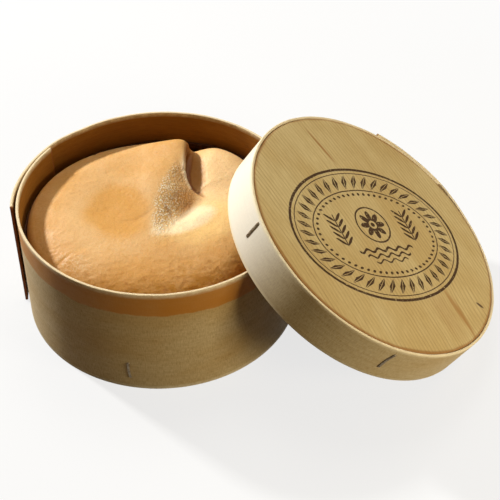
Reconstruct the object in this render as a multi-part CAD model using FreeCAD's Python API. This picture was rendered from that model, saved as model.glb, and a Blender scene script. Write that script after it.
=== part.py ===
import FreeCAD, Part

import math
import os

from FreeCAD import Vector

# A soft washed-rind cheese in its round spruce box, with the loose lid leaning on the box.
# Millimetres, +Z up.  The origin is the centre of the box's underside, on the table.
# The lid leans towards +X: its hoop stands on the table there and hangs on the box's rim.

# ---- box ----
box_radius = 60.0           # outside of the wall strip where it is one layer thick
box_height = 55.0
box_veneer = 1.2            # thickness of the wall strip
box_lap_start = 155.0       # direction of the strip's inner end, degrees from +X
box_lap = 41.0              # how far the strip's outer end runs past its inner end, degrees
box_lap_spring = 1.0        # how far the outer end has sprung away
base_thickness = 4.0
base_clearance = 0.2        # round the base, inside the wall

# ---- lid ----
lid_fit = 0.5               # radial play of the lid on the box
lid_veneer = 1.2            # thickness of the hoop strip
lid_height = 19.0
lid_lap_start = 60.0        # direction of the hoop's inner end in the lid, degrees
lid_lap = 35.0
lid_lap_spring = 0.3
panel_thickness = 4.0
panel_clearance = 0.2       # round the panel, inside the hoop
lid_hang = 41.83            # from the lid's lean to each point where its hoop hangs on the rim, degrees
rest_clearance = 0.15       # between the leaning lid and the rim that carries it

# ---- both strips ----
lap_gap = 0.2               # between the two layers of a strip where it laps over itself
lap_ramp = 20.0             # degrees in which a strip climbs over its inner end

# ---- bark strap round the cheese ----
strap_thickness = 1.2
strap_drop = 7.0            # from the flat of the cheese's top to the strap's upper edge
strap_lift = 4.0            # from the base board to the strap's lower edge
strap_clearance = 0.3       # to the wall outside it
strap_joint = 4.0           # open joint between the strap's two ends
strap_joint_angle = 20.0

# ---- cheese ----
cheese_clearance = 0.3      # to the strap round it
headspace = 8.0             # from the box's rim down to the flat of the cheese's top
foot_radius = 4.0           # rounded lower edge

# Its top bends down towards the edge, least on the side facing -X, and sags in front.
edge_drop = 9.4
edge_drop_left = 3.4
edge_width = 18.0           # the ring in which the top bends down
edge_curve = 2.2            # power of the bend: higher keeps the flat wider
front_sag = 5.5
front_sag_start = 14.0      # from the middle
front_curve = 1.6

# The basin: a wide shallow hollow left of the fold.
basin_depth = 0.9
basin_x = -19.0
basin_y = -4.0
basin_length = 17.0
basin_width = 14.0

# The lobe: the swell at the back, right of the fold.
lobe_rise = 4.4
lobe_x = 20.0
lobe_y = 46.0
lobe_width = 18.0
lobe_start = 3.5            # from the lip to the lobe's full rise

# The fold: the left of the top runs over the right like a wave.  Its crest goes from near the
# back edge to the front.  Right of the crest a flank falls to a free lip, and past the lip a
# cliff drops to the lower right.  In front the lip ends and the flank runs out in a scoop,
# whose far side rises to the flat again.  Places along the fold are measured from its back.
fold_inset = 14.7           # from the cheese's back edge to the top of the crest
fold_length = 58.0
fold_fade = 4.0             # either side of its front end

crest_rise = 5.6
crest_fall = 1.2            # power with which the crest comes down towards the front
crest_left_width = 13.0
crest_back_width = 6.5
crest_x = 1.3
crest_bow = 5.3             # how far it swings to the left
crest_bow_start = 9.0
crest_bow_run = 26.0
crest_hook = 8.5            # how far its front end turns back to the right
crest_hook_start = 42.0

lip_x = 2.9                 # place of the lip at the back
lip_rise = 7.7              # from the scoop's floor up to the lip at the back
lip_run = 28.0              # from scoop_middle back to where the lip is at its full height
lip_flare = 11.0            # how far the lip has swung to the right at lip_turn
lip_flare_run = 7.5         # shorter makes the swing more sudden
lip_turn = 28.2             # where the lip ends and the scoop's right side takes over
lip_least = 1.0             # from the crest to the lip, at least

flank_roll = 1.2            # higher carries the crest further before the flank falls
cliff_width = 2.2
crease_depth = 2.3          # how far the foot of the cliff lies under the scoop's floor
crease_start = 30.0         # from here back it deepens
crease_run = 8.0
right_drop = 2.2            # how far the right side lies under the left side at the back
right_drop_start = 26.0
right_drop_end = 42.0

scoop_depth = 3.3
scoop_middle = 36.0
scoop_end = 58.0
scoop_x = 14.5              # right end of the scoop's floor at lip_turn
scoop_narrowing = 0.33      # how fast that end comes in towards the front
scoop_corner = 1.0          # rounding where the lip meets that side
bank_width = 10.5           # from the floor up to the flat
bank_swell = 3.0            # how much wider the bank is at the back than at scoop_middle
bank_swell_run = 14.0
bank_least = 1.0

surface_pitch = 1.25        # spacing of the points that carry the cheese's top
surface_margin = 3.0        # how far the surface runs past the cheese before it is trimmed

# ---- sizes that follow ----
box_inner_radius = box_radius - box_veneer
lid_inner_radius = box_radius + lid_fit
lid_radius = lid_inner_radius + lid_veneer
strap_radius = box_inner_radius - strap_clearance
cheese_radius = strap_radius - strap_thickness - cheese_clearance
cheese_top = box_height - headspace
cheese_height = cheese_top - base_thickness
strap_width = cheese_height - strap_drop - strap_lift
fold_back = cheese_radius - fold_inset


def ease(value):
    """0 up to 0, 1 from 1 on, and a smooth step between."""
    value = min(max(value, 0.0), 1.0)
    return value * value * (3.0 - 2.0 * value)


def bell(value):
    return math.exp(-value * value)


def polar(radius, degrees):
    angle = math.radians(degrees)
    return Vector(radius * math.cos(angle), radius * math.sin(angle), 0.0)


def smooth_edge(points):
    curve = Part.BSplineCurve()
    curve.interpolate(points)
    return curve.toShape()


# ---- a strip of veneer bent into a ring, its outer end lapped over its inner end ----

def strip_side(radius, start, lap, climb, spring):
    """One face of the strip seen from above: an arc, then the climb over the inner end."""
    climb_start = start + 360.0 - lap_ramp
    lap_end = start + 360.0 + lap
    middle = polar(radius, (start + climb_start) / 2.0)
    arc = Part.Arc(polar(radius, start), middle, polar(radius, climb_start)).toShape()
    steps = 16
    points = []
    for step in range(steps + 1):
        angle = climb_start + (lap_end - climb_start) * step / steps
        raised = radius + climb * ease((angle - climb_start) / lap_ramp)
        sprung = spring * ease((angle - start - 360.0) / lap)
        points.append(polar(raised + sprung, angle))
    return arc, smooth_edge(points), points[-1]


def strip(inner_radius, thickness, height, start, lap, spring):
    climb = thickness + lap_gap
    inner_arc, inner_lap, inner_end = strip_side(inner_radius, start, lap, climb, spring)
    outer_radius = inner_radius + thickness
    outer_arc, outer_lap, outer_end = strip_side(outer_radius, start, lap, climb, spring)
    start_cut = Part.makeLine(polar(inner_radius, start), polar(outer_radius, start))
    end_cut = Part.makeLine(inner_end, outer_end)
    edges = [inner_arc, inner_lap, end_cut, outer_lap, outer_arc, start_cut]
    outline = Part.Wire(Part.__sortEdges__(edges))
    return Part.Face(outline).extrude(Vector(0, 0, height))


# ---- box ----

def box_wall():
    return strip(box_inner_radius, box_veneer, box_height, box_lap_start, box_lap, box_lap_spring)


def box_base():
    return Part.makeCylinder(box_inner_radius - base_clearance, base_thickness)


# ---- lid ----

def lean_on_box(shape):
    """Carry a lid piece from the lid's own frame (open rim down, at z = 0) to its leaning place.

    The hoop's open rim stands on the table with its outer edge, and hangs on the box's rim
    with its inner edge at two points, either side of the plane in which the lid leans.
    """
    hang = math.radians(lid_hang)
    along = lid_inner_radius * math.cos(hang)
    across = lid_inner_radius * math.sin(hang)
    tilt = math.asin((box_height + rest_clearance) / (lid_radius + along))
    centre_x = along * math.cos(tilt) + math.sqrt(box_radius * box_radius - across * across)
    placed = shape.copy()
    placed.rotate(Vector(0, 0, 0), Vector(0, 1, 0), math.degrees(tilt))
    placed.translate(Vector(centre_x, 0, lid_radius * math.sin(tilt)))
    return placed


def lid_hoop():
    ring = strip(lid_inner_radius, lid_veneer, lid_height, lid_lap_start, lid_lap, lid_lap_spring)
    return lean_on_box(ring)


def lid_panel():
    panel = Part.makeCylinder(lid_inner_radius - panel_clearance, panel_thickness)
    panel.translate(Vector(0, 0, lid_height - panel_thickness))
    return lean_on_box(panel)


# ---- bark strap ----

def bark_strap():
    """An open ring of bark, its joint on the side under the lid."""
    half_gap = math.degrees(strap_joint / 2.0 / strap_radius)
    inner_radius = strap_radius - strap_thickness
    start = strap_joint_angle + half_gap
    end = strap_joint_angle + 360.0 - half_gap
    middle = (start + end) / 2.0
    outer = Part.Arc(polar(strap_radius, start), polar(strap_radius, middle), polar(strap_radius, end))
    inner = Part.Arc(polar(inner_radius, start), polar(inner_radius, middle), polar(inner_radius, end))
    start_cut = Part.makeLine(polar(inner_radius, start), polar(strap_radius, start))
    end_cut = Part.makeLine(polar(inner_radius, end), polar(strap_radius, end))
    outline = Part.Wire([outer.toShape(), end_cut, inner.toShape(), start_cut])
    strap = Part.Face(outline).extrude(Vector(0, 0, strap_width))
    strap.translate(Vector(0, 0, base_thickness + strap_lift))
    return strap


# ---- cheese ----

def edge_sag(x, y):
    """How far the top lies under its flat: it bends down near the edge, and in front."""
    radius = math.hypot(x, y)
    leftness = max(-x, 0.0) / max(radius, 1.0)
    drop = edge_drop + (edge_drop_left - edge_drop) * leftness * leftness
    bend = max(radius - (cheese_radius - edge_width), 0.0) / edge_width
    front = max(-y - front_sag_start, 0.0) / (cheese_radius - front_sag_start)
    return drop * bend ** edge_curve + front_sag * front ** front_curve


def basin(x, y):
    across = (x - basin_x) / basin_width
    along = (y - basin_y) / basin_length
    return basin_depth * bell(across * across + along * along)


def crest_line(along):
    bow = crest_bow * ease((along - crest_bow_start) / crest_bow_run)
    hook = max(along - crest_hook_start, 0.0) / (fold_length - crest_hook_start)
    return crest_x - bow + crest_hook * hook * hook


def lip_line(along):
    """The lip, and in front of it the right end of the scoop's floor, joined by a rounding."""
    run = min(along, fold_length) - lip_turn
    lip = lip_x + lip_flare * math.exp(run / lip_flare_run)
    side = scoop_x - scoop_narrowing * (along - lip_turn)
    nearer = math.exp(-lip / scoop_corner) + math.exp(-side / scoop_corner)
    return max(-scoop_corner * math.log(nearer), crest_line(along) + lip_least)


def lip_height(along, behind):
    if along < scoop_middle:
        return lip_rise * ease((scoop_middle - along) / lip_run) * behind - scoop_depth
    return scoop_depth * (ease((along - scoop_middle) / (scoop_end - scoop_middle)) - 1.0)


def right_side(x, y, along, past_lip, lip):
    """Height of the top past the lip: cliff, crease, and the bank up to the right side."""
    level = -right_drop * (1.0 - ease((along - right_drop_start) / (right_drop_end - right_drop_start)))
    foot = lip
    if along < scoop_middle:
        foot = min(lip, -scoop_depth - crease_depth * ease((crease_start - along) / crease_run))
    front = min(max(scoop_end - along, 0.0) / (scoop_end - scoop_middle), 1.0)
    swell = bank_swell * ease((scoop_middle - along) / bank_swell_run)
    width = bank_least + bank_width * math.sqrt(front) + swell
    bank = level + (foot - level) * (1.0 - ease(past_lip / width))
    lobe = lobe_rise * bell(math.hypot(x - lobe_x, y - lobe_y) / lobe_width)
    cliff = lip + (bank - lip) * ease(past_lip / cliff_width)
    return cliff + lobe * ease(past_lip / lobe_start)


def fold(x, y):
    """Height added by the fold and the lower right side past it."""
    along = fold_back - y
    behind = bell(min(along, 0.0) / crest_back_width)
    left = 1.0 - min(max(along / fold_length, 0.0), 1.0)
    rise = crest_rise * left ** crest_fall * behind
    crest = crest_line(along)
    lip_place = lip_line(along)
    if x < crest:
        return rise * bell((x - crest) / crest_left_width)
    lip = lip_height(along, behind)
    if x < lip_place:
        height = rise + (lip - rise) * ease(((x - crest) / (lip_place - crest)) ** flank_roll)
    else:
        height = right_side(x, y, along, x - lip_place, lip)
    return height * (1.0 - ease((along - fold_length + fold_fade) / (2.0 * fold_fade)))


def top_point(x, y):
    height = cheese_top - edge_sag(x, y) - basin(x, y) + fold(x, y)
    return Vector(x, y, height)


def cheese_surface():
    reach = cheese_radius + surface_margin
    count = 2 * math.ceil(reach / surface_pitch)
    rows = []
    for row in range(count + 1):
        y = reach * (2.0 * row / count - 1.0)
        rows.append([top_point(reach * (2.0 * column / count - 1.0), y) for column in range(count + 1)])
    surface = Part.BSplineSurface()
    surface.interpolate(rows)
    return surface


def cheese():
    """A round cake cut off above by its folded top."""
    top = cheese_surface().toShape()
    floor_level = -box_height
    blank = Part.makeCylinder(cheese_radius, box_height + cheese_height, Vector(0, 0, base_thickness))
    blank = blank.makeFillet(foot_radius, [blank.Edges[2]])
    under_top = top.extrude(Vector(0, 0, floor_level))
    return blank.common(under_top)


parts = {
    "box_base": box_base(),
    "box_wall": box_wall(),
    "bark_strap": bark_strap(),
    "cheese": cheese(),
    "lid_panel": lid_panel(),
    "lid_hoop": lid_hoop(),
}

os.makedirs("parts", exist_ok=True)
for name, shape in parts.items():
    solids = shape.Solids
    print(name, len(solids), "solid", round(shape.Volume / 1000.0, 2), "cm3 valid", shape.isValid())
    shape.exportStep("parts/" + name + ".step")
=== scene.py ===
import math

import bpy
import numpy as np
from mathutils import Matrix, Vector, noise
from mathutils.bvhtree import BVHTree


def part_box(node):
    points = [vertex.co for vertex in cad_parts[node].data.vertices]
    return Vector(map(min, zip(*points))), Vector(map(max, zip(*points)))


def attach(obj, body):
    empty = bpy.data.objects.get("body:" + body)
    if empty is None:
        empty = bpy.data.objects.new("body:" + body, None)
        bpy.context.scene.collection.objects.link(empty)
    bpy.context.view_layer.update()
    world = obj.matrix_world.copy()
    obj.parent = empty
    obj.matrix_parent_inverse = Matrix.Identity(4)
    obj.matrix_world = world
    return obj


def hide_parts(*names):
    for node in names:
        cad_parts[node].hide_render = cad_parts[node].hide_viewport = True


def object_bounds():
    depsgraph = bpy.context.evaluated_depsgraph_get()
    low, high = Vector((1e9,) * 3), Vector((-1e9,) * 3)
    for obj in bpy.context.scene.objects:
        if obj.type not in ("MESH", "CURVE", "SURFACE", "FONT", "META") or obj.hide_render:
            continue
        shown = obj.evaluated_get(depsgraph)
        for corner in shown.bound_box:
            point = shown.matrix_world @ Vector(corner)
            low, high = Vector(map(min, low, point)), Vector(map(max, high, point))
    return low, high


# A soft washed-rind cheese in its bent spruce box, with the loose lid leaning on the rim.
# Metres, +Z up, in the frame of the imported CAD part.  Each piece is shaped after the CAD node that
# it stands for; wear, texture, the overhang of the fold and the staples are added here.

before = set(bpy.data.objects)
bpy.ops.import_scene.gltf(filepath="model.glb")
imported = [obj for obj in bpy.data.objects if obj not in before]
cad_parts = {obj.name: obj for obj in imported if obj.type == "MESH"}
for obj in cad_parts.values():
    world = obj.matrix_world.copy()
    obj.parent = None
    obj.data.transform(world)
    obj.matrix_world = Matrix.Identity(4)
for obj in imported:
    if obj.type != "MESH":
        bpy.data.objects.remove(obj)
cad_low, cad_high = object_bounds()

MM = 0.001


def smoothstep(low, high, value):
    share = np.clip((value - low) / (high - low), 0.0, 1.0)
    return share * share * (3.0 - 2.0 * share)


def wander(x, y, z, scale, seed):
    """Smooth noise from -1 to 1 whose features are about scale metres across."""
    return noise.noise(Vector((x / scale + seed, y / scale - seed, z / scale + 0.37 * seed)))


wander_all = np.vectorize(wander, otypes=[float])


# ---- reading the CAD nodes ----

def node_points(node, place=Matrix()):
    """A node's vertices in the frame given by place, one row each."""
    into = np.array(place.inverted())
    points = np.array([vertex.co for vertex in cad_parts[node].data.vertices])
    return points @ into[:3, :3].T + into[:3, 3]


def leaning_frame(board, ring):
    """The leaning lid's own frame: +Z out of its top, +X down the slope, origin at its open rim."""
    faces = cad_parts[board].data.polygons
    out = max((face for face in faces if face.normal.z > 0.0), key=lambda face: face.area).normal
    side = out.cross(Vector((0, 0, -1))).cross(out).normalized()
    place = Matrix((side, out.cross(side), out)).transposed().to_4x4()
    low, high = node_points(board, place).min(0), node_points(board, place).max(0)
    open_rim = node_points(ring, place)[:, 2].min()
    place.translation = place @ Vector(((low[0] + high[0]) / 2, (low[1] + high[1]) / 2, open_rim))
    return place


def lower_loop(node, place):
    """The outline of a strip's lower edge, in order, as x, y rows in the frame given by place."""
    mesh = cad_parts[node].data
    points = node_points(node, place)
    floor = points[:, 2].min()
    keys = [tuple(np.round(point[:2], 6)) for point in points]
    uses = {}
    for face in mesh.polygons:
        corners = list(face.vertices)
        if max(points[corner][2] for corner in corners) > floor + 0.01 * MM:
            continue
        for first, second in zip(corners, corners[1:] + corners[:1]):
            edge = (keys[first], keys[second])
            uses[edge] = uses.get(edge, 0) + 1
    after = {first: second for (first, second) in uses if (second, first) not in uses}
    loop = [next(iter(after))]
    while after[loop[-1]] != loop[0]:
        loop.append(after[loop[-1]])
    return np.array(loop)


def strip_sides(node, place):
    """Unrolls a bent strip: angles and radii along its inner side, then along its outer side."""
    loop = lower_loop(node, place)
    turn = np.arctan2(loop[:, 1], loop[:, 0])
    step = (np.roll(turn, -1) - turn + math.pi) % (2.0 * math.pi) - math.pi
    cuts = np.sort(np.argsort(np.abs(step))[:2])
    sides = []
    for first, last in ((cuts[0] + 1, cuts[1]), (cuts[1] + 1, cuts[0] + len(loop))):
        rows = np.arange(first, last + 1) % len(loop)
        angles = turn[rows[0]] + np.concatenate(([0.0], np.cumsum(step[rows[:-1]])))
        radii = np.hypot(loop[rows, 0], loop[rows, 1])
        if angles[0] > angles[-1]:
            angles, radii = angles[::-1], radii[::-1]
        sides.append((angles, radii))
    sides.sort(key=lambda side: side[1].mean())
    (angles, inner), (outer_angles, outer) = sides
    shift = 2.0 * math.pi * round((angles[0] - outer_angles[0]) / (2.0 * math.pi))
    return angles, inner, outer_angles + shift, outer


# ---- meshes ----

def make_piece(name, points, faces, place, slot, *nodes):
    """A smooth-shaded mesh that rides on the frame and stands for the named CAD nodes."""
    mesh = bpy.data.meshes.new(name)
    mesh.from_pydata([tuple(point) for point in points], [], faces)
    mesh.shade_smooth()
    mesh.update()
    piece = bpy.data.objects.new(name, mesh)
    bpy.context.scene.collection.objects.link(piece)
    piece.matrix_world = place
    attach(piece, "root")
    if nodes:
        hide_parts(*nodes)
    return piece


def add_values(piece, name, values):
    """Stores three numbers for each vertex, which the material reads by name."""
    layer = piece.data.attributes.new(name, "FLOAT_VECTOR", "POINT")
    layer.data.foreach_set("vector", np.asarray(values, np.float32).ravel())


def tube_faces(rings, count):
    """Quads between each ring of count points and the next, and one face over each end."""
    faces = []
    for ring in range(rings - 1):
        first, second = ring * count, (ring + 1) * count
        for row in range(count):
            after = (row + 1) % count
            faces.append((first + row, second + row, second + after, first + after))
    faces.append(tuple(range(count)))
    faces.append(tuple((rings - 1) * count + row for row in reversed(range(count))))
    return faces


def rounded_section(low, high, thickness, rounding, rows):
    """Points round a strip's cross-section: share of the thickness, height, and share of the rim."""
    section = []
    corner = [(math.sin(turn), 1.0 - math.cos(turn)) for turn in np.linspace(0.0, math.pi / 2.0, 4)]
    share = rounding / thickness
    bottom, top = low + rounding, high - rounding
    for height in np.linspace(bottom, top, rows)[:-1]:
        section.append((0.0, height, 0.0))
    section += [(inset * share, top + rise * rounding, 1.0) for rise, inset in corner]
    section += [(1.0 - inset * share, top + rise * rounding, 1.0) for rise, inset in corner[::-1]]
    for height in np.linspace(top, bottom, rows)[1:-1]:
        section.append((1.0, height, 0.0))
    section += [(1.0 - inset * share, bottom - rise * rounding, 1.0) for rise, inset in corner]
    section += [(inset * share, bottom - rise * rounding, 1.0) for rise, inset in corner[::-1]]
    return section[:-1]


def bent_strip(name, node, place, slot, rows, wear, seed):
    """A strip of wood bent into a ring, after the CAD strip; wear is that of rims, ends and faces in mm."""
    rim_wear, end_wear, face_wear = (depth * MM for depth in wear)
    rounding = 0.3 * MM
    station_step = math.radians(0.8)
    torn_turn = 0.06            # radians from each end in which it is torn
    worn_depth = 3.0 * MM       # from each rim in which it is worn
    angles, inner, outer_angles, outer = strip_sides(node, place)
    heights = node_points(node, place)[:, 2]
    low, high = heights.min(), heights.max()
    thickness = float(np.median(outer) - np.median(inner))
    section = rounded_section(low, high, thickness, rounding, rows)
    count = len(section)
    start, end = max(angles[0], outer_angles[0]), min(angles[-1], outer_angles[-1])
    stations = int((end - start) / station_step) + 1
    points, values = [], []
    for turn in np.linspace(start, end, stations):
        inside, outside = np.interp(turn, angles, inner), np.interp(turn, outer_angles, outer)
        # how near to a torn end, from 0 to 1, and which way leads back from it
        nearness = max(1.0 - (end - turn) / torn_turn, 1.0 - (turn - start) / torn_turn, 0.0)
        back = 1.0 if turn > (start + end) / 2.0 else -1.0
        for depth, height, rim in section:
            along = turn * outside
            torn = end_wear * nearness * (1.0 + wander(0.0, height, 0.0, 3.0 * MM, seed)) / 2.0
            place_turn = turn - back * torn / outside
            radius = inside + (outside - inside) * depth
            dent = face_wear * (1.0 + wander(along, height, depth * MM, 9.0 * MM, seed + 5.0)) / 2.0
            radius += dent * (1.0 - 2.0 * depth)
            chipped = rim_wear * (1.0 + wander(along, 0.0, 0.0, 7.0 * MM, seed + 9.0)) / 2.0
            chipped += 0.4 * rim_wear * max(wander(along, depth, 0.0, 1.3 * MM, seed + 2.0), 0.0)
            level = height - chipped * smoothstep(high - worn_depth, high, height)
            level += 0.5 * chipped * (1.0 - smoothstep(low, low + worn_depth, height))
            points.append((radius * math.cos(place_turn), radius * math.sin(place_turn), level))
            values.append((along, height, depth))
    piece = make_piece(name, points, tube_faces(stations, count), place, slot, node)
    add_values(piece, "grain", values)
    ends = np.zeros((len(points), 3))
    ends[:, 0] = np.tile([rim for _, _, rim in section], stations)
    ends[:count, 1] = ends[-count:, 1] = 1.0
    add_values(piece, "edge", ends)
    return piece


def board(name, node, place, slot, wear, seed):
    """A round board after its CAD node, its edges rounded over and slightly uneven."""
    rounding = 0.5 * MM
    worn_width = 2.0 * MM       # from the edge in which the board is worn
    segments = 256
    points_in = node_points(node, place)
    low, high = points_in[:, 2].min(), points_in[:, 2].max()
    radius = np.hypot(points_in[:, 0], points_in[:, 1]).max()
    flat = [radius * share for share in (0.25, 0.5, 0.75, 0.9)] + [radius - 2.0 * rounding]
    upper = [(ring_radius, high) for ring_radius in flat]
    for turn in np.linspace(0.0, math.pi / 2.0, 5):
        upper.append((radius - rounding * (1 - math.sin(turn)), high - rounding * (1 - math.cos(turn))))
    profile = upper + [(ring_radius, low + high - height) for ring_radius, height in reversed(upper)]
    points = []
    for ring_radius, height in profile:
        for turn in np.arange(segments) * 2.0 * math.pi / segments:
            x, y = ring_radius * math.cos(turn), ring_radius * math.sin(turn)
            nick = wear * smoothstep(radius - worn_width, radius, ring_radius)
            worn = nick * (1.0 + wander(x, y, 0.0, 5.0 * MM, seed)) / 2.0
            points.append((x, y, height - worn if height > (low + high) / 2.0 else height + worn))
    return make_piece(name, points, tube_faces(len(profile), segments), place, slot, node)


def staple(name, place, length, proud, bend):
    """A flat wire staple lying on a surface: place has +Z out of the wood and +X along the wire."""
    half_width, half_thickness, legs = 0.55 * MM, 0.25 * MM, 0.9 * MM
    leg_share = 0.12            # of each half of the wire, bent down into a leg
    path = []
    for share in np.linspace(-1.0, 1.0, 25):
        x = length / 2.0 * math.copysign(min(abs(share) * (1.0 + leg_share), 1.0), share)
        sink = max(abs(share) - (1.0 - leg_share), 0.0) / leg_share
        path.append((x, bend * (1.0 - share * share), proud - (legs + proud) * sink ** 1.6))
    points = []
    corners = [(math.cos(turn), math.sin(turn)) for turn in np.linspace(0.0, 2.0 * math.pi, 13)[:-1]]
    for index, centre in enumerate(path):
        ahead = Vector(path[min(index + 1, len(path) - 1)]) - Vector(path[max(index - 1, 0)])
        ahead.normalize()
        across = Vector((0, 1, 0))
        up = ahead.cross(across).normalized() * -1.0
        for flat, tall in corners:
            points.append(Vector(centre) + across * flat * half_width + up * tall * half_thickness)
    faces = [face[::-1] for face in tube_faces(len(path), len(corners))]
    return make_piece(name, points, faces, place, None)


def on_ring(place, radius, degrees, height, tilt):
    """A frame on the outside of a ring: +Z outwards, +X along the ring's axis turned by tilt."""
    turn = math.radians(degrees)
    out = Vector((math.cos(turn), math.sin(turn), 0.0))
    up = Vector((0, 0, 1))
    spot = Matrix((up, out.cross(up), out)).transposed().to_4x4()
    spot.translation = out * radius + up * height
    return place @ spot @ Matrix.Rotation(math.radians(tilt), 4, "Z")


# ---- the cheese ----

def disc_grid(count):
    """A square grid of points pressed into the unit disc."""
    line = np.linspace(-1.0, 1.0, count)
    wide, deep = np.meshgrid(line, line, indexing="ij")
    steep = np.abs(deep) > np.abs(wide)
    major = np.where(steep, deep, wide)
    minor = np.where(steep, wide, deep)
    turn = math.pi / 4.0 * minor / np.where(major == 0.0, 1.0, major)
    first, second = major * np.cos(turn), major * np.sin(turn)
    return np.where(steep, second, first), np.where(steep, first, second)


def blur(grid, reach):
    """A soft average over about reach cells each way."""
    weights = np.exp(-0.5 * (np.arange(-3 * reach, 3 * reach + 1) / reach) ** 2)
    weights /= weights.sum()
    for axis in (0, 1):
        pad = [(0, 0), (0, 0)]
        pad[axis] = (3 * reach, 3 * reach)
        padded = np.pad(grid, pad, mode="reflect", reflect_type="odd")
        grid = np.apply_along_axis(lambda row: np.convolve(row, weights, "valid"), axis, padded)
    return grid


def slopes(height, x, y):
    """How steeply a grid of heights climbs along x and along y."""
    height_row, height_column = np.gradient(height)
    x_row, x_column = np.gradient(x)
    y_row, y_column = np.gradient(y)
    cell = x_row * y_column - x_column * y_row
    along_x = (height_row * y_column - height_column * y_row) / cell
    along_y = (height_column * x_row - height_row * x_column) / cell
    return along_x, along_y


def oval(x, y, centre, size, degrees, soft):
    """1 inside a turned oval in mm, falling to 0 over a soft border given as a share of its size."""
    turn = math.radians(degrees)
    dx, dy = x - centre[0] * MM, y - centre[1] * MM
    along = (dx * math.cos(turn) + dy * math.sin(turn)) / (size[0] * MM)
    across = (dy * math.cos(turn) - dx * math.sin(turn)) / (size[1] * MM)
    return 1.0 - smoothstep(1.0 - soft, 1.0 + soft, np.hypot(along, across))


def cheese_grid(radius, count):
    """Points over the cheese's top, drawn together around the fold."""
    fold_x, fold_y, fold_reach = 6.0 * MM, 24.0 * MM, 24.0 * MM
    strength = 0.5
    x, y = disc_grid(count)
    x, y = x * radius, y * radius
    away = np.hypot(x - fold_x, y - fold_y) / fold_reach
    pull = strength * np.exp(-away ** 2) * (1.0 - (np.hypot(x, y) / radius) ** 4)
    return x - (x - fold_x) * pull, y - (y - fold_y) * pull


def top_heights(node, x, y, radius, above):
    """The heights of the CAD cheese's top.  Its facets go, the lip of its fold stays."""
    tree = BVHTree.FromObject(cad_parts[node], bpy.context.evaluated_depsgraph_get())
    height = np.zeros_like(x)
    inward = 1.0 - 0.05 * MM / radius
    for index in np.ndindex(x.shape):
        start = Vector((x[index] * inward, y[index] * inward, above))
        height[index] = tree.ray_cast(start, Vector((0, 0, -1)))[0].z
    fine, coarse = blur(height, 3), blur(height, 5)
    kept = blur(smoothstep(0.05 * MM, 0.25 * MM, np.abs(fine - coarse)), 2)
    return coarse + (fine - coarse) * np.clip(kept * 1.5, 0.0, 1.0)


def top_marks(height, x, y, inner):
    """Shares from 0 to 1 over the top: the drop under the free edge of the fold, the edge itself, the
    crease and the hollow behind it, and the fresh rind that the fold has drawn out.  The edge is for a
    painted highlight, the crease and the hollow are for painted shade."""
    slope_x, slope_y = slopes(height, x, y)
    soft_x, soft_y = slopes(blur(height, 2), x, y)
    hollowness = slopes(soft_x, x, y)[0] + slopes(soft_y, x, y)[1]
    near_fold = np.exp(-((x - 5 * MM) / (13 * MM)) ** 4 - ((y - 16 * MM) / (37 * MM)) ** 4)
    drop = np.clip(2.5 * blur(smoothstep(0.7, 1.3, -slope_x), 2), 0.0, 1.0) * near_fold * inner
    lip = smoothstep(60.0, 240.0, -hollowness) * drop * (1.0 - smoothstep(26 * MM, 38 * MM, y))

    # the crease from the slopes, for painted shade; the bank at its far end lies in the fold's cast shadow
    # but is too gentle for the slopes to show, so an oval marks it for painted shadow
    crease = np.maximum(smoothstep(60.0, 300.0, hollowness), smoothstep(0.7, 1.4, -slope_x))
    far_bank = oval(x, y, (9.2, 31.5), (13.0, 3.8), 107.0, 0.4)
    crease = np.maximum(crease * near_fold * inner, 0.4 * far_bank)
    crease = blur(crease * (1.0 - 0.8 * lip), 1)
    # the hollow below the end of the lip, in the fold's shadow, for painted shade
    hollow = np.maximum(oval(x, y, (8.5, 10.0), (6.0, 3.8), 60.0, 0.6), far_bank)

    # the flank above the lip, and the scoop that it runs out into
    drawn = oval(x, y, (3.0, 5.5), (23.0, 9.5), 84.0, 0.22)
    gentle = 1.0 - smoothstep(0.9, 1.3, np.hypot(slope_x, slope_y))
    flank = smoothstep(-0.06, 0.12, -soft_x) * gentle * drawn
    scoop_turn = math.radians(41.0)
    trough = oval(x, y, (11.0, -3.5), (14.5, 8.6), 41.0, 0.2)
    climb = soft_x * math.sin(scoop_turn) - soft_y * math.cos(scoop_turn)
    tip = oval(x, y, (3.6, -12.0), (5.0, 3.4), 41.0, 0.4)
    scoop = np.maximum(smoothstep(-0.16, 0.06, climb) * trough, 0.8 * tip)
    return drop, lip, crease, hollow, flank, scoop


def rind_relief(x, y, lip):
    """Swells, orange peel and fine wrinkles, which are strongest in front."""
    relief = 0.22 * MM * wander_all(x, y, 0.0, 11 * MM, 3.1)
    relief += 0.10 * MM * wander_all(x, y, 0.0, 4 * MM, 7.7)
    relief += 0.045 * MM * wander_all(x, y, 0.0, 1.6 * MM, 1.9) * (1.0 - 0.6 * lip)
    wrinkle = 1.0 - np.abs(wander_all(x + 0.4 * y, 3.0 * y - x, 0.0, 9 * MM, 5.3))
    front = smoothstep(8 * MM, 40 * MM, -y)
    return relief + 0.10 * MM * wrinkle ** 6 * (0.3 + 0.7 * front)


def grid_faces(count):
    """The faces of a square grid of points, and the points round its border in order."""
    faces = []
    for row in range(count - 1):
        for column in range(count - 1):
            corner = row * count + column
            faces.append((corner, corner + count, corner + count + 1, corner + 1))
    border = [row * count for row in range(count)]
    border += [(count - 1) * count + column for column in range(1, count)]
    border += [row * count + count - 1 for row in range(count - 2, -1, -1)]
    border += [column for column in range(count - 2, 0, -1)]
    return faces, border


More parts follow.
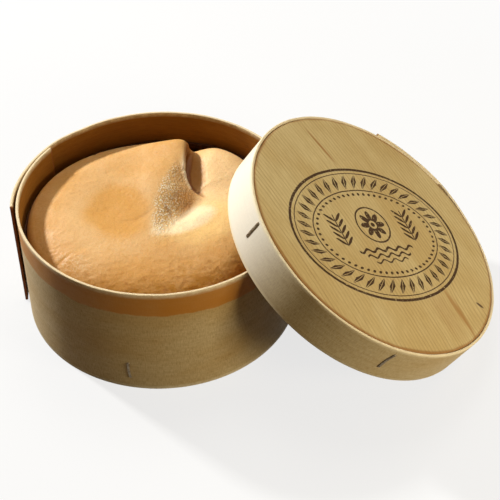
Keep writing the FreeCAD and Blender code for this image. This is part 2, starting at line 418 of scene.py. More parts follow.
def add_side(points, faces, border, bottom, radius):
    """The cheese's side goes down from its top's border, and turns in at the foot."""
    foot = 4.0 * MM
    unevenness = 0.15 * MM
    rings = [(share, 0.0) for share in np.linspace(0.08, 1.0, 12)]
    rings += [(1.0, turn) for turn in np.linspace(0.0, math.pi / 2.0, 7)[1:]]
    previous = border
    for share, turn in rings:
        ring = []
        for corner in border:
            edge_x, edge_y, edge_z = points[corner]
            level = edge_z + (bottom + foot - edge_z) * share - foot * math.sin(turn)
            shrink = 1.0 - foot * (1.0 - math.cos(turn)) / radius
            bulge = unevenness * wander(edge_x, edge_y, level, 8 * MM, 4.4) - unevenness
            shrink += bulge * math.sin(math.pi * share) / radius
            ring.append(len(points))
            points.append((edge_x * shrink, edge_y * shrink, level))
        for column in range(len(ring)):
            after = (column + 1) % len(ring)
            faces.append((previous[column], ring[column], ring[after], previous[after]))
        previous = ring
    faces.append(tuple(reversed(previous)))


def cheese_piece():
    """The cheese after its CAD node, with a free-edged fold, a round shoulder and a wrinkled rind."""
    node = "cheese"
    count = 251                 # points each way over the top
    overhang = 1.5 * MM         # of the fold's edge over the crease
    shoulder = 3.2 * MM         # rounding between the top and the side
    low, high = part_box(node)
    radius = (high.x - low.x) / 2.0
    x, y = cheese_grid(radius, count)
    height = top_heights(node, x, y, radius, high.z + 10 * MM)
    reach = np.hypot(x, y)
    inner = 1.0 - smoothstep(radius - 12 * MM, radius - 5 * MM, reach)
    drop, lip, crease, hollow, flank, scoop = top_marks(height, x, y, inner)
    height = height + rind_relief(x, y, lip) * inner * (1.0 - 0.8 * drop)

    # the fold's edge hangs over the crease, where it stands above its surroundings
    raised = np.clip((height - blur(height, 8)) / (1.6 * MM), -1.0, 1.0)
    behind = 1.0 - smoothstep(45 * MM, 51 * MM, y)
    x = x + overhang * blur(drop, 2) * blur(raised, 1) * behind

    # the shoulder rounds over into the side
    past = np.clip(reach - (radius - shoulder), 0.0, shoulder * 0.9999) / shoulder
    height = height - shoulder * (1.0 - np.sqrt(1.0 - past * past))
    points = [tuple(point) for point in np.stack([x, y, height], -1).reshape(-1, 3)]
    faces, border = grid_faces(count)
    add_side(points, faces, border, low.z, radius)
    piece = make_piece("cheese_rind", points, faces, Matrix(), "rind", node)

    # masks for each vertex: the flank, the scoop and the fold's edge, which is painted as a highlight; then
    # the painted shade in the crease, on the shoulder and all down the side, and in the hollow
    side_marks = np.zeros((len(points) - count * count, 3))
    marks = np.stack([flank, scoop, lip], -1).reshape(-1, 3)
    add_values(piece, "young_rind_and_highlight", np.concatenate([marks, side_marks]))
    side_marks[:, 1] = 1.0
    marks = np.stack([crease, smoothstep(0.0, 1.0, past), hollow], -1).reshape(-1, 3)
    add_values(piece, "painted_shade", np.concatenate([marks, side_marks]))
    return piece


# ---- materials ----

def rgb(code):
    """A colour written as sRGB hex, in the linear values that Blender uses."""
    channels = [int(code[index:index + 2], 16) / 255.0 for index in (0, 2, 4)]
    return tuple(c / 12.92 if c < 0.04045 else ((c + 0.055) / 1.055) ** 2.4 for c in channels) + (1.0,)


class Paint:
    """One node material, built a node at a time.  Inputs are numbers, colours or other nodes' outputs."""

    def __init__(self, name):
        self.material = bpy.data.materials.new(name)
        self.material.use_nodes = True
        self.tree = self.material.node_tree
        self.tree.nodes.clear()

    def add(self, kind, inputs, **settings):
        node = self.tree.nodes.new("ShaderNode" + kind)
        for key, value in settings.items():
            setattr(node, key, value)
        for key, value in inputs.items():
            if isinstance(value, bpy.types.NodeSocket):
                self.tree.links.new(value, node.inputs[key])
            else:
                node.inputs[key].default_value = value
        return node

    def position(self):
        return self.add("TexCoord", {}).outputs["Object"]

    def values(self, name):
        return self.add("Attribute", {}, attribute_name=name).outputs["Vector"]

    def split(self, vector):
        node = self.add("SeparateXYZ", {0: vector})
        return node.outputs[0], node.outputs[1], node.outputs[2]

    def join(self, x, y, z):
        return self.add("CombineXYZ", {0: x, 1: y, 2: z}).outputs[0]

    def math(self, operation, first, second=0.0, third=0.0):
        return self.add("Math", {0: first, 1: second, 2: third}, operation=operation).outputs[0]

    def plus(self, first, second):
        return self.math("ADD", first, second)

    def minus(self, first, second):
        return self.math("SUBTRACT", first, second)

    def absolute(self, value):
        return self.math("ABSOLUTE", value)

    def reach(self, x, y):
        """How far a point lies from the origin."""
        return self.math("SQRT", self.plus(self.product(x, x), self.product(y, y)))

    def scaled(self, vector, factors):
        return self.add("VectorMath", {0: vector, 1: factors}, operation="MULTIPLY").outputs[0]

    def moved(self, vector, offset, amount):
        """The vector plus an amount of the offset."""
        node = self.add("VectorMath", {0: offset, 1: (amount,) * 3, 2: vector}, operation="MULTIPLY_ADD")
        return node.outputs[0]

    def noise(self, vector, scale, detail=3.0, rough=0.55):
        inputs = {"Vector": vector, "Scale": scale, "Detail": detail, "Roughness": rough}
        return self.add("TexNoise", inputs).outputs["Fac"]

    def noise_vector(self, vector, scale):
        """Three noises about zero, for moving a point with."""
        colour = self.add("TexNoise", {"Vector": vector, "Scale": scale, "Detail": 2.0}).outputs["Color"]
        return self.add("VectorMath", {0: colour, 1: (0.5, 0.5, 0.5)}, operation="SUBTRACT").outputs[0]

    def cells(self, vector, scale, feature="F1"):
        inputs = {"Vector": vector, "Scale": scale}
        return self.add("TexVoronoi", inputs, feature=feature).outputs["Distance"]

    def between(self, value, low, high, first=0.0, last=1.0):
        """A smooth change from first to last while value goes from low to high."""
        inputs = {"Value": value, "From Min": low, "From Max": high, "To Min": first, "To Max": last}
        return self.add("MapRange", inputs, interpolation_type="SMOOTHSTEP").outputs[0]

    def mix(self, share, first, second):
        return self.add("Mix", {0: share, 6: first, 7: second}, data_type="RGBA").outputs[2]

    def product(self, *values):
        result = values[0]
        for value in values[1:]:
            result = self.math("MULTIPLY", result, value)
        return result

    def turned(self, x, y, centre, degrees):
        """x and y about a centre in mm, along axes turned by some degrees."""
        turn = math.radians(degrees)
        dx, dy = self.minus(x, centre[0] * MM), self.minus(y, centre[1] * MM)
        along = self.plus(self.product(dx, math.cos(turn)), self.product(dy, math.sin(turn)))
        across = self.minus(self.product(dy, math.cos(turn)), self.product(dx, math.sin(turn)))
        return along, across

    def spot(self, x, y, centre, size, degrees, soft):
        """1 inside a turned oval in mm, falling to 0 over a soft border given as a share of its size."""
        along, across = self.turned(x, y, centre, degrees)
        along = self.product(along, 1.0 / (size[0] * MM))
        across = self.product(across, 1.0 / (size[1] * MM))
        return self.between(self.reach(along, across), 1.0 - soft, 1.0 + soft, 1.0, 0.0)

    def finish(self, colour, roughness, relief, distance, **extra):
        """Ends the material: bare wood, bark and rind shine little."""
        bump = self.add("Bump", {"Height": relief, "Distance": distance, "Strength": 1.0})
        inputs = {"Base Color": colour, "Roughness": roughness, "Normal": bump.outputs[0]}
        surface = self.add("BsdfPrincipled", {**inputs, "Specular IOR Level": 0.25, **extra})
        self.add("OutputMaterial", {"Surface": surface.outputs[0]})
        return self.material


def grain_pattern(paint, grain, spacing, sway):
    """Wood from metres along, across and into the grain: growth lines, fibres, flecks, cloudy tone."""
    bend = paint.noise_vector(paint.scaled(grain, (9.0, 60.0, 9.0)), 1.0)
    swayed = paint.moved(grain, bend, sway)
    across = paint.split(swayed)[1]
    phase = paint.math("FRACT", paint.product(across, 1.0 / spacing))
    rise = paint.between(phase, 0.35, 0.88)
    fall = paint.between(phase, 0.9, 1.0, 1.0, 0.0)
    strength = paint.noise(paint.scaled(grain, (12.0, 260.0, 12.0)), 1.0, 1.0)
    lines = paint.product(rise, fall, paint.between(strength, 0.3, 0.7, 0.35, 1.0))
    fibres = paint.noise(paint.scaled(grain, (160.0, 4200.0, 900.0)), 1.0, 4.0, 0.65)
    flecks = paint.noise(paint.scaled(grain, (900.0, 1500.0, 900.0)), 1.0, 2.0)
    clouds = paint.noise(paint.scaled(grain, (22.0, 55.0, 22.0)), 1.0, 3.0)
    return lines, fibres, flecks, clouds


def wood_colour(paint, pattern, pale, deep, line, line_share):
    """Wood between a pale and a deep tone, with lines and fibres in a third."""
    lines, fibres, flecks, clouds = pattern
    colour = paint.mix(paint.between(clouds, 0.32, 0.68), pale, deep)
    colour = paint.mix(paint.product(lines, line_share), colour, line)
    colour = paint.mix(paint.between(fibres, 0.35, 0.7, 0.0, 0.38), colour, line)
    return paint.mix(paint.between(flecks, 0.55, 0.75, 0.0, 0.25), colour, pale)


def wood_relief(paint, pattern):
    """Fibres and flecks stand up, growth lines lie low."""
    lines, fibres, flecks, _ = pattern
    relief = paint.plus(paint.product(fibres, 0.6), paint.product(flecks, 0.3))
    return paint.minus(relief, paint.product(lines, 0.25))


def veneer_paint(name, outside, inside, torn, stained_above, highlight_share):
    """Bent veneer: two faces, a painted highlight on one side, stain above a height, pale rims, dark torn
    ends.
    """
    paint = Paint(name)
    grain = paint.values("grain")
    _, height, depth = paint.split(grain)
    rim, end, _ = paint.split(paint.values("edge"))
    pattern = grain_pattern(paint, grain, 2.7 * MM, 0.9 * MM)
    outer = wood_colour(paint, pattern, rgb(outside[0]), rgb(outside[1]), rgb(outside[2]), 0.1)
    inner = wood_colour(paint, pattern, rgb(inside[0]), rgb(inside[1]), rgb(inside[2]), 0.12)
    chatter = paint.noise(paint.scaled(grain, (2100.0, 420.0, 900.0)), 1.0, 4.0, 0.7)
    outer = paint.mix(paint.between(chatter, 0.42, 0.66, 0.0, 0.4), outer, rgb(outside[2]))
    x, y, _ = paint.split(paint.position())
    # painted highlight: the left side is painted near-white where it catches the light, by the given share
    highlight_spot = paint.spot(x, y, (-58, -16), (30, 34), 0.0, 0.6)
    outer = paint.mix(paint.product(highlight_spot, highlight_share), outer, rgb("FBF6E8"))
    edge_noise = paint.product(paint.minus(paint.noise(grain, 90.0), 0.5), 3.0 * MM)
    level = paint.plus(height, edge_noise)
    patchy = paint.between(pattern[3], 0.2, 0.8, 0.7, 0.95)
    stain = paint.product(paint.between(level, stained_above, stained_above + 1.0 * MM), patchy)
    outer = paint.mix(stain, outer, rgb("BA7518"))
    colour = paint.mix(paint.between(depth, 0.3, 0.7), inner, outer)
    fresh = paint.between(paint.noise(grain, 420.0), 0.3, 0.7, 0.55, 1.0)
    colour = paint.mix(paint.product(rim, fresh), colour, rgb("FBEBC4"))
    colour = paint.mix(end, colour, rgb(torn))
    roughness = paint.between(pattern[1], 0.3, 0.8, 0.55, 0.72)
    relief = paint.plus(wood_relief(paint, pattern), paint.product(chatter, 0.5))
    return paint.finish(colour, roughness, relief, 0.10 * MM)


def thin(paint, distance, half_width, soft=0.12 * MM):
    """1 where the distance from a line is under half_width."""
    away = paint.absolute(distance)
    return paint.between(away, half_width - soft, half_width + soft, 1.0, 0.0)


def in_oval(paint, x, y, half_x, half_y):
    """1 inside an upright oval about the origin, with a hair-soft edge."""
    over_x, over_y = paint.product(x, 1.0 / half_x), paint.product(y, 1.0 / half_y)
    square = paint.plus(paint.product(over_x, over_x), paint.product(over_y, over_y))
    return paint.between(square, 0.88, 1.12, 1.0, 0.0)


def repeated(paint, value, pitch):
    """From -0.5 to 0.5 over each of many equal steps of the value."""
    return paint.minus(paint.math("FRACT", paint.product(value, 1.0 / pitch)), 0.5)


def garland(paint, turn, inset):
    """Pointed leaves that lean along the ring, each with a pale vein."""
    leaves = 40
    step = repeated(paint, turn, 2.0 * math.pi / leaves)
    depth = paint.plus(inset, 6.7 * MM)
    lean = paint.plus(paint.product(step, 6.2 * MM), paint.product(depth, 0.5))
    narrowing = paint.math("MULTIPLY_ADD", paint.absolute(depth), -0.42, 1.75 * MM)
    leaf = paint.between(paint.minus(paint.absolute(lean), narrowing), -0.1 * MM, 0.1 * MM, 1.0, 0.0)
    leaf = paint.product(leaf, paint.between(paint.absolute(depth), 3.5 * MM, 3.7 * MM, 1.0, 0.0))
    vein = thin(paint, lean, 0.16 * MM, 0.08 * MM)
    return paint.product(leaf, paint.minus(1.0, vein))


def bead_string(paint, turn, inset):
    """Round beads just inside the garland."""
    beads, bead_radius = 56, 0.75 * MM
    along = paint.product(repeated(paint, turn, 2.0 * math.pi / beads), 3.1 * MM)
    depth = paint.plus(inset, 13.3 * MM)
    return in_oval(paint, along, depth, bead_radius, bead_radius)


def rosette(paint, x, y):
    """Eight petals round a dot, in a ring."""
    reach = paint.reach(x, y)
    petal = paint.absolute(paint.math("COSINE", paint.product(paint.math("ARCTAN2", y, x), 4.0)))
    petal_edge = paint.math("MULTIPLY_ADD", petal, 4.0 * MM, 3.0 * MM)
    petals = paint.between(paint.minus(reach, petal_edge), -0.12 * MM, 0.12 * MM, 1.0, 0.0)
    petals = paint.product(petals, paint.between(reach, 1.9 * MM, 2.2 * MM))
    dot = paint.between(reach, 1.0 * MM, 1.2 * MM, 1.0, 0.0)
    ring = thin(paint, paint.minus(reach, 8.9 * MM), 0.4 * MM)
    return [petals, dot, ring]


def sprig(paint, x, y):
    """Slanting pairs of leaves on an upright stem."""
    rise = 3.0 * MM             # from one pair to the next
    wide = paint.absolute(x)
    slanted = paint.math("MULTIPLY_ADD", wide, -0.8, y)
    rung = paint.product(repeated(paint, slanted, rise), rise)
    pair = in_oval(paint, paint.minus(wide, 2.5 * MM), rung, 2.3 * MM, 0.85 * MM)
    from_middle = paint.absolute(paint.plus(slanted, rise / 2.0))
    whole_pairs = paint.between(from_middle, 7.4 * MM, 7.5 * MM, 1.0, 0.0)
    stem_end = paint.between(paint.absolute(y), 7.8 * MM, 8.0 * MM, 1.0, 0.0)
    return [paint.product(pair, whole_pairs), paint.product(thin(paint, x, 0.3 * MM), stem_end)]


def waves(paint, along, across):
    """Three rows of waves, each shorter and thinner than the one above."""
    swing = paint.math("SINE", paint.product(along, 2.0 * math.pi / (6.5 * MM)))
    rows = []
    for row, half_length, width in ((-8.4, 16.3, 0.6), (-11.3, 13.0, 0.5), (-14.0, 9.8, 0.4)):
        wave = paint.minus(paint.minus(across, row * MM), paint.product(swing, 0.8 * MM))
        away = paint.absolute(along)
        held = paint.between(away, (half_length - 0.2) * MM, (half_length + 0.2) * MM, 1.0, 0.0)
        rows.append(paint.product(thin(paint, wave, width * MM), held))
    return rows


def stamp_mask(paint, x, y):
    """A plain oval stamp: a double line, a garland of leaves, a string of beads, a rosette between
    two sprigs, and three rows of waves."""
    half_long, half_short = 46.3 * MM, 33.4 * MM
    along, across = paint.turned(x, y, (0.0, -2.0), 39.0)

    # how far a point lies outside the oval's edge, in metres, and its turn round the oval
    share_x, share_y = paint.product(along, 1.0 / half_long), paint.product(across, 1.0 / half_short)
    level = paint.math("MAXIMUM", paint.reach(share_x, share_y), 0.01)
    slope = paint.reach(paint.product(share_x, 1.0 / half_long), paint.product(share_y, 1.0 / half_short))
    beyond = paint.product(paint.minus(level, 1.0), level)
    inset = paint.math("DIVIDE", beyond, paint.math("MAXIMUM", slope, 1.0))
    turn = paint.math("ARCTAN2", share_y, share_x)

    motifs = [
        thin(paint, inset, 0.62 * MM),
        thin(paint, paint.plus(inset, 2.1 * MM), 0.22 * MM),
        thin(paint, paint.plus(inset, 11.2 * MM), 0.3 * MM),
        garland(paint, turn, inset),
        bead_string(paint, turn, inset),
    ]
    motifs += rosette(paint, along, paint.minus(across, 4.2 * MM))
    for side in (-1.0, 1.0):
        motifs += sprig(paint, paint.minus(along, side * 20.5 * MM), paint.minus(across, 2.6 * MM))
    motifs += waves(paint, along, across)

    mask = motifs[0]
    for motif in motifs[1:]:
        mask = paint.math("MAXIMUM", mask, motif)
    return mask


def board_paint(name, pale, deep, line, degrees, spacing, stamped):
    """Sawn spruce board; the lid's has marks of the tree and a stamp burnt into it."""
    paint = Paint(name)
    position = paint.position()
    x, y, z = paint.split(position)
    uneven = paint.noise_vector(position, 260.0)
    place = paint.moved(position, uneven, 0.28 * MM)
    ink_x, ink_y, _ = paint.split(place)
    swirl = paint.spot(x, y, (47, -20), (17, 9), -50.0, 0.9)
    along, across = paint.turned(x, y, (0, 0), degrees)
    across = paint.plus(across, paint.product(swirl, 3.0 * MM))
    across = paint.plus(across, paint.product(along, along, 1.1))
    grain = paint.join(along, across, z)
    pattern = grain_pattern(paint, grain, spacing, 1.6 * MM)
    colour = wood_colour(paint, pattern, rgb(pale), rgb(deep), rgb(line), 0.42)
    if not stamped:
        roughness = paint.between(pattern[1], 0.3, 0.8, 0.6, 0.75)
        return paint.finish(colour, roughness, wood_relief(paint, pattern), 0.12 * MM)
    amber = rgb("9C6520")
    streak = paint.spot(x, y, (-32.5, 31), (9.5, 0.7), -32.0, 0.5)
    colour = paint.mix(paint.product(streak, 0.75), colour, amber)
    for centre, size, angle, share in (
        ((41, -19), (9, 1.1), -46.0, 0.6),
        ((47, -24), (10, 0.8), -52.0, 0.55),
        ((36, -25), (13, 5.0), -45.0, 0.22),
        ((-6, 22), (5, 0.5), -34.0, 0.25),
    ):
        spot = paint.spot(x, y, centre, size, angle, 0.6)
        colour = paint.mix(paint.product(spot, share), colour, amber)
    speck = paint.spot(x, y, (53.9, -10), (2.0, 0.7), -10.0, 0.3)
    colour = paint.mix(paint.product(speck, 0.9), colour, rgb("4A2A12"))
    reach = paint.plus(paint.reach(x, y), paint.product(pattern[3], 2.0 * MM))
    edge = paint.between(reach, 59.9 * MM, 61.1 * MM)
    colour = paint.mix(paint.product(edge, 0.75), colour, rgb("8F5A1E"))
    mask = stamp_mask(paint, ink_x, ink_y)
    worn = paint.between(paint.noise(position, 900.0, 3.0), 0.28, 0.42, 0.35, 1.0)
    top = paint.between(z, 16.0 * MM, 18.0 * MM)
    ink = paint.product(mask, worn, top, 0.96)
    colour = paint.mix(ink, colour, rgb("351B06"))
    relief = paint.minus(wood_relief(paint, pattern), paint.product(ink, 0.9))
    roughness = paint.between(pattern[1], 0.3, 0.8, 0.55, 0.7)
    roughness = paint.math("MAXIMUM", roughness, paint.product(ink, 0.9))
    return paint.finish(colour, roughness, relief, 0.12 * MM)


def bark_paint():
    """Dark inner bark: long fibres and scaly plates."""
    paint = Paint("spruce_bark")
    grain = paint.values("grain")
    fibres = paint.noise(paint.scaled(grain, (500.0, 90.0, 500.0)), 1.0, 5.0, 0.7)
    plates = paint.cells(paint.scaled(grain, (140.0, 260.0, 1.0)), 1.0)
    colour = paint.mix(paint.between(fibres, 0.3, 0.7), rgb("2A1509"), rgb("6B3D1C"))
    colour = paint.mix(paint.between(plates, 0.5, 0.9, 0.0, 0.5), colour, rgb("8A5A30"))
    relief = paint.plus(paint.product(fibres, 0.7), paint.product(plates, 0.5))
    return paint.finish(colour, 0.5, relief, 0.4 * MM)


def steel_paint():
    """Staple wire gone dull."""
    paint = Paint("staple_wire")
    position = paint.position()
    dull = paint.noise(position, 1500.0, 3.0)
    colour = paint.mix(paint.between(dull, 0.35, 0.65), rgb("5B4A33"), rgb("8E8069"))
    roughness = paint.between(dull, 0.3, 0.7, 0.35, 0.6)
    return paint.finish(colour, roughness, dull, 0.03 * MM, Metallic=0.6)


def rind_paint():
    """Washed rind: golden and pinkish tan, browner towards the front edge, pale where the fold has drawn it
    out, with painted light on the right and painted shade in and beside the fold.
    """
    paint = Paint("washed_rind")
    position = paint.position()
    x, y, _ = paint.split(position)
    flank, scoop, lip = paint.split(paint.values("young_rind_and_highlight"))
    crease, shoulder, hollow = paint.split(paint.values("painted_shade"))
    drift = paint.noise_vector(position, 70.0)
    soft_x, soft_y, _ = paint.split(paint.moved(position, drift, 9.0 * MM))
    clouds = paint.noise(position, 55.0, 4.0, 0.6)
    specks = paint.noise(position, 420.0, 3.0, 0.6)
    fine = paint.noise(position, 1500.0, 3.0, 0.6)

    colour = paint.mix(paint.between(clouds, 0.3, 0.7), rgb("D79F55"), rgb("E2B274"))
    basin = paint.spot(soft_x, soft_y, (-18, -4), (14, 18), 22.0, 0.3)
    colour = paint.mix(paint.product(basin, 0.75), colour, rgb("D69A44"))
    ring = paint.spot(soft_x, soft_y, (-18, -4), (22, 27), 22.0, 0.3)
    pale_ring = paint.product(ring, paint.minus(1.0, basin))
    colour = paint.mix(paint.product(pale_ring, 0.5), colour, rgb("E6BC82"))
    # painted light: the right lobe and the front right are painted paler where they catch the light;
    # painted shade darkens the crest's top near its peak
    painted_light_lobe = paint.spot(soft_x, soft_y, (26, 26), (22, 28), 0.0, 0.5)
    colour = paint.mix(paint.product(painted_light_lobe, 0.85), colour, rgb("FCD49A"))
    painted_light_front = paint.spot(soft_x, soft_y, (24, -3), (20, 11), 35.0, 0.6)
    colour = paint.mix(paint.product(painted_light_front, 0.8), colour, rgb("FACF84"))
    painted_shade_apex = paint.spot(soft_x, soft_y, (-3, 33), (9, 14), 0.0, 0.6)
    colour = paint.mix(paint.product(painted_shade_apex, 0.6), colour, rgb("CF9A50"))

    # browner and mottled towards the front edge
    forward = paint.minus(paint.product(x, 0.3), y)
    browner_front = paint.between(paint.plus(forward, paint.product(clouds, 16 * MM)), 29 * MM, 56 * MM)
    blotch = paint.between(paint.noise(position, 260.0, 4.0, 0.65), 0.35, 0.65)
    colour = paint.mix(paint.product(browner_front, paint.between(blotch, 0.0, 1.0, 0.6, 1.0)), colour, rgb("BA7F22"))
    colour = paint.mix(paint.product(browner_front, paint.between(specks, 0.54, 0.68), 0.35), colour, rgb("96561C"))

    # dry pale crust
    veins = paint.absolute(paint.minus(specks, 0.5))
    veins = paint.product(paint.between(veins, 0.0, 0.06, 1.0, 0.0), paint.between(fine, 0.35, 0.6))
    for centre, size, angle, share in (
        ((-29, -35), (7.5, 4.0), -18.0, 0.5),
        ((-15, -24), (16, 5.0), -10.0, 0.22),
    ):
        spot = paint.spot(soft_x, soft_y, centre, size, angle, 0.8)
        colour = paint.mix(paint.product(spot, veins, share), colour, rgb("FBE6BC"))

    # fresh rind: cream where the fold has drawn it out, dotted on the flank; painted shade, amber, down in
    # the hollow
    colour = paint.mix(paint.product(scoop, 0.95), colour, rgb("FBE2B6"))
    dots = paint.between(paint.cells(position, 1250.0), 0.32, 0.62, 1.0, 0.0)
    density = paint.between(paint.plus(x, paint.product(y, 0.22)), 2.0 * MM, 13.0 * MM, 1.0, 0.1)
    mottled = paint.between(paint.noise(position, 520.0, 2.0), 0.4, 0.6, 0.45, 1.0)
    own_flank = paint.product(flank, paint.minus(1.0, paint.product(scoop, 0.8)))
    colour = paint.mix(paint.product(own_flank, 0.6), colour, rgb("C58F4A"))
    colour = paint.mix(paint.product(hollow, 0.8), colour, rgb("BE7F30"))
    colour = paint.mix(paint.product(flank, density, 0.3), colour, rgb("EAC480"))
    colour = paint.mix(paint.product(flank, dots, mottled, density), colour, rgb("FAEBCB"))
    # a painted highlight along the fold's free edge; painted shade, dark brown in the crease and browner on
    # the shoulder and the side
    colour = paint.mix(paint.product(lip, 0.9), colour, rgb("FBE8C4"))
    colour = paint.mix(paint.product(crease, 0.95), colour, rgb("7E440E"))
    colour = paint.mix(paint.product(shoulder, 0.6), colour, rgb("8C5A24"))
    colour = paint.mix(paint.between(fine, 0.45, 0.75, 0.0, 0.22), colour, rgb("9A642A"))

    peel = paint.cells(paint.moved(position, drift, 2.0 * MM), 640.0, "SMOOTH_F1")
    relief = paint.plus(paint.product(specks, 0.45), paint.product(fine, 0.3))
    relief = paint.plus(relief, paint.product(peel, -0.35))
    relief = paint.plus(relief, paint.product(flank, dots, 0.5))
    roughness = paint.between(specks, 0.3, 0.7, 0.42, 0.6)
    extra = {"Subsurface Weight": 0.12, "Subsurface Scale": 2.0 * MM, "Subsurface Radius": (1.0, 0.5, 0.25)}
    return paint.finish(colour, roughness, relief, 0.34 * MM, **extra)


# ---- the object ----

upright = Matrix()
lid = leaning_frame("lid_panel", "lid_hoop")

box_outside_tones = ("DAC290", "CBAA6E", "94702F")
box_inside_tones = ("A66E26", "92601A", "66400E")
lid_outside_tones = ("E6D3A4", "D8BF8A", "A98648")
lid_inside_tones = ("D9B87C", "C69F5F", "8F6A34")
# the box is stained near its rim; the lid's hoop ends below the height given for it, so it isn't
box_veneer = veneer_paint("box_veneer", box_outside_tones, box_inside_tones, "9C5826", 43 * MM, 0.1)
lid_veneer = veneer_paint("lid_veneer", lid_outside_tones, lid_inside_tones, "8E6436", 30 * MM, 0.85)
lid_board = board_paint("lid_board", "DDC891", "CEB378", "98733A", -42.0, 1.9 * MM, True)
base_board = board_paint("base_board", "DCC592", "CDAE76", "9C7A45", 20.0, 2.3 * MM, False)
bark = bark_paint()
steel = steel_paint()
rind = rind_paint()

dressed = [
    (bent_strip("box_wall_veneer", "box_wall", upright, "veneer", 26, (0.25, 0.9, 0.05), 2.0), box_veneer),
    (bent_strip("lid_hoop_veneer", "lid_hoop", lid, "veneer", 14, (0.2, 0.7, 0.05), 6.0), lid_veneer),
    (bent_strip("bark_band", "bark_strap", upright, "bark", 20, (1.2, 1.5, 0.25), 11.0), bark),
    (board("box_base_board", "box_base", upright, "board", 0.2 * MM, 8.0), base_board),
    (board("lid_top_board", "lid_panel", lid, "board", 0.2 * MM, 4.0), lid_board),
    (cheese_piece(), rind),
]

# radii on which the staples lie: the strips' outsides, and the outsides of their laps
box_outside = float(np.median(strip_sides("box_wall", upright)[3]))
box_lap = box_outside + 1.9 * MM
hoop_outside = float(np.median(strip_sides("lid_hoop", lid)[3]))
hoop_lap = hoop_outside + 1.75 * MM
lid_high = node_points("lid_hoop", lid)[:, 2].max()
staple_proud = 0.2 * MM
for name, place, length, bend in (
    ("box_staple_front", on_ring(upright, box_outside, -92.0, 10.8 * MM, 4.0), 8.6 * MM, 0.25 * MM),
    ("box_staple_lap_low", on_ring(upright, box_lap, 172.0, 12.0 * MM, -3.0), 8.6 * MM, 0.1 * MM),
    ("box_staple_lap_high", on_ring(upright, box_lap, 171.0, 40.0 * MM, 5.0), 8.6 * MM, -0.2 * MM),
    ("lid_staple_left", on_ring(lid, hoop_outside, -148.5, lid_high - 6.3 * MM, 0.0), 9.0 * MM, 0.0),
    ("lid_staple_front", on_ring(lid, hoop_outside, -76.0, lid_high - 7.7 * MM, -8.0), 9.6 * MM, 0.6 * MM),
    ("lid_staple_lap", on_ring(lid, hoop_lap, 78.0, lid_high - 9.0 * MM, 3.0), 9.0 * MM, 0.2 * MM),
):
    dressed.append((staple(name, place, length, staple_proud, bend), steel))

for piece, material in dressed:
    piece.data.materials.append(material)


# ---- stage, light and camera ----

def floor():
    """White to the camera, with soft shadows near the object; wood-brown to the light that bounces."""
    mesh = bpy.data.meshes.new("floor")
    half = 3.0                  # metres
    corners = [(-half, -half, 0), (half, -half, 0), (half, half, 0), (-half, half, 0)]
    mesh.from_pydata(corners, [], [(0, 1, 2, 3)])
    plane = bpy.data.objects.new("floor", mesh)
    bpy.context.scene.collection.objects.link(plane)
    plane.location.z = cad_low.z - 0.05 * MM
    paint = Paint("pale_floor")
    path = paint.add("LightPath", {})
    seen = paint.math("MAXIMUM", path.outputs["Is Camera Ray"], path.outputs["Is Glossy Ray"])
    seen = paint.math("MAXIMUM", seen, path.outputs["Is Transmission Ray"])
    card = paint.add("BsdfDiffuse", {"Color": rgb("5E4A2C")})
    white = paint.add("Emission", {"Color": (1, 1, 1, 1), "Strength": 1.0})
    lit = paint.add("BsdfDiffuse", {"Color": rgb("E4E4E4")})
    x, y, _ = paint.split(paint.position())
    fade_from, fade_to = 0.2, 0.5       # metres from the middle, between which shadows end in white
    share = paint.between(paint.reach(x, y), fade_from, fade_to, 0.76, 1.0)
    pale = paint.add("MixShader", {0: share, 1: lit.outputs[0], 2: white.outputs[0]})
    mixed = paint.add("MixShader", {0: seen, 1: card.outputs[0], 2: pale.outputs[0]})
    paint.add("OutputMaterial", {"Surface": mixed.outputs[0]})
    mesh.materials.append(paint.material)


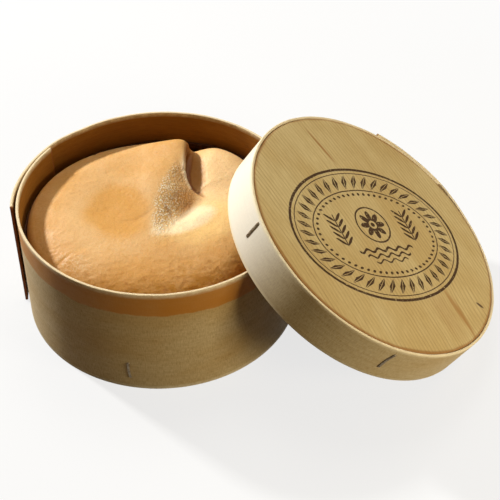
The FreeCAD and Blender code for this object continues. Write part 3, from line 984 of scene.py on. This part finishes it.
def surroundings():
    """White to the camera, a dim warm glow as light."""
    world = bpy.data.worlds.new("studio")
    bpy.context.scene.world = world
    world.use_nodes = True
    tree = world.node_tree
    tree.nodes.clear()
    path = tree.nodes.new("ShaderNodeLightPath")
    seen = path.outputs["Is Camera Ray"]
    for kind in ("Is Glossy Ray", "Is Transmission Ray"):
        either = tree.nodes.new("ShaderNodeMath")
        either.operation = "MAXIMUM"
        tree.links.new(seen, either.inputs[0])
        tree.links.new(path.outputs[kind], either.inputs[1])
        seen = either.outputs[0]
    soft = tree.nodes.new("ShaderNodeBackground")
    soft.inputs["Color"].default_value = (1.0, 0.72, 0.34, 1.0)
    soft.inputs["Strength"].default_value = 0.08
    white = tree.nodes.new("ShaderNodeBackground")
    white.inputs["Color"].default_value = (1, 1, 1, 1)
    white.inputs["Strength"].default_value = 1.0
    mixed = tree.nodes.new("ShaderNodeMixShader")
    out = tree.nodes.new("ShaderNodeOutputWorld")
    tree.links.new(seen, mixed.inputs[0])
    tree.links.new(soft.outputs[0], mixed.inputs[1])
    tree.links.new(white.outputs[0], mixed.inputs[2])
    tree.links.new(mixed.outputs[0], out.inputs["Surface"])


def lamp(name, azimuth, elevation, distance, size, power, colour):
    """A square soft box that looks at the middle of the object."""
    centre = (cad_low + cad_high) / 2.0
    turn, rise = math.radians(azimuth), math.radians(elevation)
    out = Vector((math.cos(turn) * math.cos(rise), math.sin(turn) * math.cos(rise), math.sin(rise)))
    data = bpy.data.lights.new(name, "AREA")
    data.size = size
    data.energy = power
    data.color = colour
    light = bpy.data.objects.new(name, data)
    light.location = centre + out * distance
    light.rotation_mode = "QUATERNION"
    light.rotation_quaternion = out.to_track_quat("Z", "Y")
    light.visible_camera = False
    bpy.context.scene.collection.objects.link(light)


def camera():
    """The photo's camera, fitted to the box's rim, its foot and the lid."""
    data = bpy.data.cameras.new("camera")
    data.sensor_width = 36.0
    data.lens = 84.8
    data.clip_start, data.clip_end = 0.01, 20.0
    eye = bpy.data.objects.new("camera", data)
    forward = Vector((-0.1024, 0.7274, -0.6785)).normalized()
    right = Vector((0.9893, 0.1455, 0.0067))
    right = (right - forward * right.dot(forward)).normalized()
    turn = Matrix((right, right.cross(forward), -forward)).transposed()
    eye.rotation_mode = "QUATERNION"
    eye.rotation_quaternion = turn.to_quaternion()
    eye.location = (91.28 * MM, -371.57 * MM, 375.57 * MM)
    bpy.context.scene.collection.objects.link(eye)
    bpy.context.scene.camera = eye


floor()
surroundings()
lamp("key", 152.0, 31.0, 1.6, 0.12, 30.5, (1.0, 1.0, 0.98))
lamp("front", -26.0, 16.0, 0.5, 0.15, 1.4, (1.0, 0.9, 0.7))
lamp("top", 100.0, 65.0, 0.8, 0.4, 2.3, (1.0, 0.96, 0.88))
camera()
bpy.context.scene.view_settings.view_transform = "Standard"
